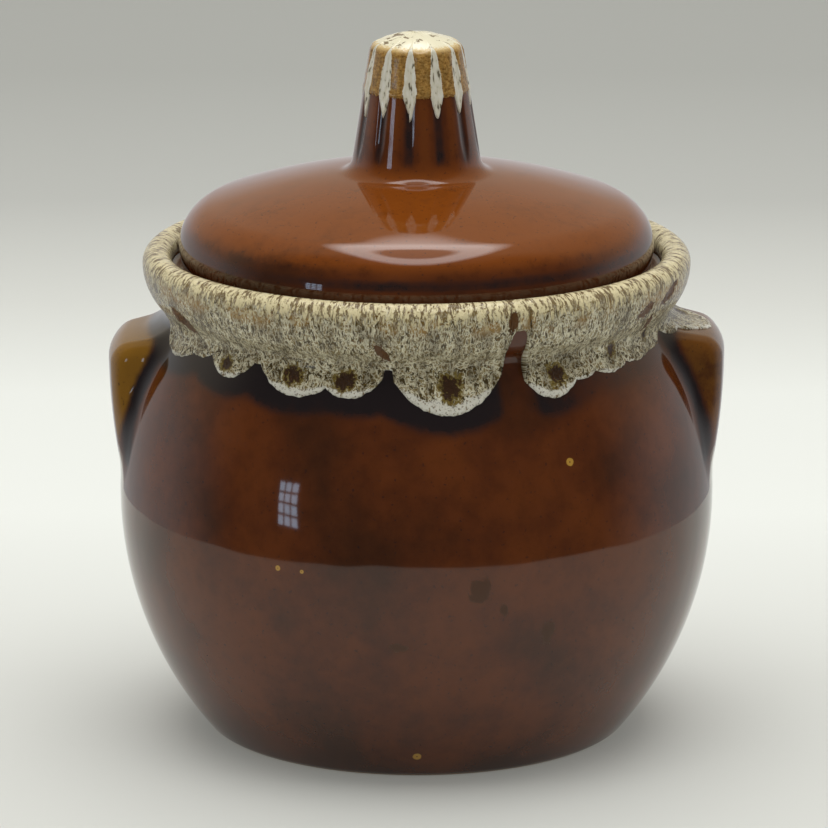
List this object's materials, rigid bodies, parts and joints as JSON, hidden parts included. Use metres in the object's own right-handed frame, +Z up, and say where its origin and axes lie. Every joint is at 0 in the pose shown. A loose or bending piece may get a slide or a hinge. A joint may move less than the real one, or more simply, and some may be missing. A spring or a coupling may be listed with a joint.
{
  "type": "bean pot",
  "caption": "Round-bellied lidded stoneware pot with solid side lugs, a rolled rim with scalloped drip glaze, and a lift-off domed lid with a fluted knob.",
  "frame": {"origin": "middle of the foot ring, on the surface that the pot stands on", "axes": "+Z up along the pot's axis, +X through the right-hand lug, -Y towards the front"},
  "size_m": [0.184, 0.178, 0.211],
  "materials": {
    "brown_glaze": "gloss brown stoneware glaze that breaks amber on edges",
    "cream_drip_glaze": "thick glossy cream reactive glaze with brown flecks"
  },
  "bodies": {
    "pot": {"pot_body": "brown_glaze", "left_lug_handle": "brown_glaze", "right_lug_handle": "brown_glaze", "rim_drip_glaze": "cream_drip_glaze"},
    "lid": {"lid_cover": "brown_glaze", "lid_knob": "brown_glaze", "knob_drip_glaze": "cream_drip_glaze"}
  },
  "joints": [
    {"name": "lid_lift", "type": "slide", "parent": "pot", "child": "lid", "axis": [0, 0, 1], "range_m": [0, 0.06]}
  ]
}
